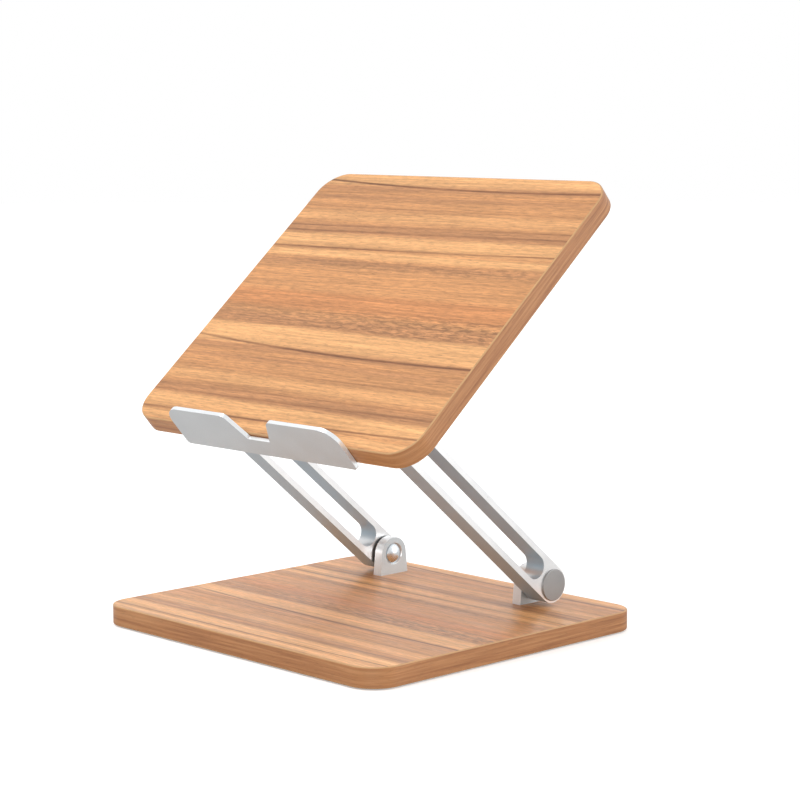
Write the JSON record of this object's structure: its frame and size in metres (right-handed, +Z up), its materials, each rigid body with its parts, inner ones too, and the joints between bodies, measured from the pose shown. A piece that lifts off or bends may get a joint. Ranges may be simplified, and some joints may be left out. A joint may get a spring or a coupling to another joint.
{
  "type": "tablet stand",
  "caption": "Folding wooden tablet stand: a tray board with a notched metal stop plate, held over a base board by slotted aluminium arms on friction hinges.",
  "frame": {"origin": "on the ground, under the middle of the base board", "axes": "+Z up; the user sits towards -Y, where the stop plate is; +X to the user's right, along both hinge lines"},
  "size_m": [0.24, 0.22, 0.2677],
  "materials": {
    "wood": "satin lacquered, straight grain from left to right",
    "aluminium": "bead-blasted and anodised silver, bright chamfers",
    "polished_steel": "polished",
    "grey_metal": "satin grey anodised",
    "zinc_steel": "zinc plated",
    "nylon": "black nylon",
    "rubber": "matt black"
  },
  "bodies": {
    "base": {"base_board": "wood", "foot_pad_front_left": "rubber", "foot_pad_front_right": "rubber", "foot_pad_back_left": "rubber", "foot_pad_back_right": "rubber", "base_bracket_left": "aluminium", "base_bracket_right": "aluminium", "base_bracket_screw_left_front": "zinc_steel", "base_bracket_screw_left_back": "zinc_steel", "base_bracket_screw_right_front": "zinc_steel", "base_bracket_screw_right_back": "zinc_steel", "lower_hinge_barrel_left": "polished_steel", "lower_hinge_barrel_right": "polished_steel", "lower_hinge_screw_left": "zinc_steel", "lower_hinge_screw_right": "zinc_steel", "lower_friction_washer_left": "nylon", "lower_friction_washer_right": "nylon", "lower_disc_spring_left": "zinc_steel", "lower_disc_spring_right": "zinc_steel"},
    "arms": {"arm_left": "aluminium", "arm_right": "aluminium", "lower_hinge_cap_left": "grey_metal", "lower_hinge_cap_right": "grey_metal", "upper_hinge_cap_left": "grey_metal", "upper_hinge_cap_right": "grey_metal"},
    "upper_pins": {"upper_hinge_barrel_left": "polished_steel", "upper_hinge_barrel_right": "polished_steel", "upper_hinge_screw_left": "zinc_steel", "upper_hinge_screw_right": "zinc_steel", "upper_friction_washer_left": "nylon", "upper_friction_washer_right": "nylon", "upper_disc_spring_left": "zinc_steel", "upper_disc_spring_right": "zinc_steel"},
    "tray": {"tray_board": "wood", "tray_bracket_left": "aluminium", "tray_bracket_right": "aluminium", "tray_bracket_screw_left_front": "zinc_steel", "tray_bracket_screw_left_back": "zinc_steel", "tray_bracket_screw_right_front": "zinc_steel", "tray_bracket_screw_right_back": "zinc_steel", "stop_plate": "aluminium", "stop_plate_screw_outer_left": "zinc_steel", "stop_plate_screw_inner_left": "zinc_steel", "stop_plate_screw_inner_right": "zinc_steel", "stop_plate_screw_outer_right": "zinc_steel"}
  },
  "joints": [
    {"name": "arms_fold", "type": "hinge", "parent": "base", "child": "arms", "pos_m": [0, 0.0772, 0.0259], "axis": [1, 0, 0], "range_deg": [-50, 40]},
    {"name": "pins_turn", "type": "hinge", "parent": "arms", "child": "upper_pins", "pos_m": [0, -0.04351, 0.12754], "axis": [-1, 0, 0], "range_deg": [-62.6, 50.1]},
    {"name": "tray_tilt", "type": "hinge", "parent": "upper_pins", "child": "tray", "pos_m": [0, -0.04351, 0.12754], "axis": [-1, 0, 0], "range_deg": [-10, 30.4]}
  ],
  "couplings": [
    {"joint": "pins_turn", "follows": "arms_fold", "ratio": 1.25}
  ]
}
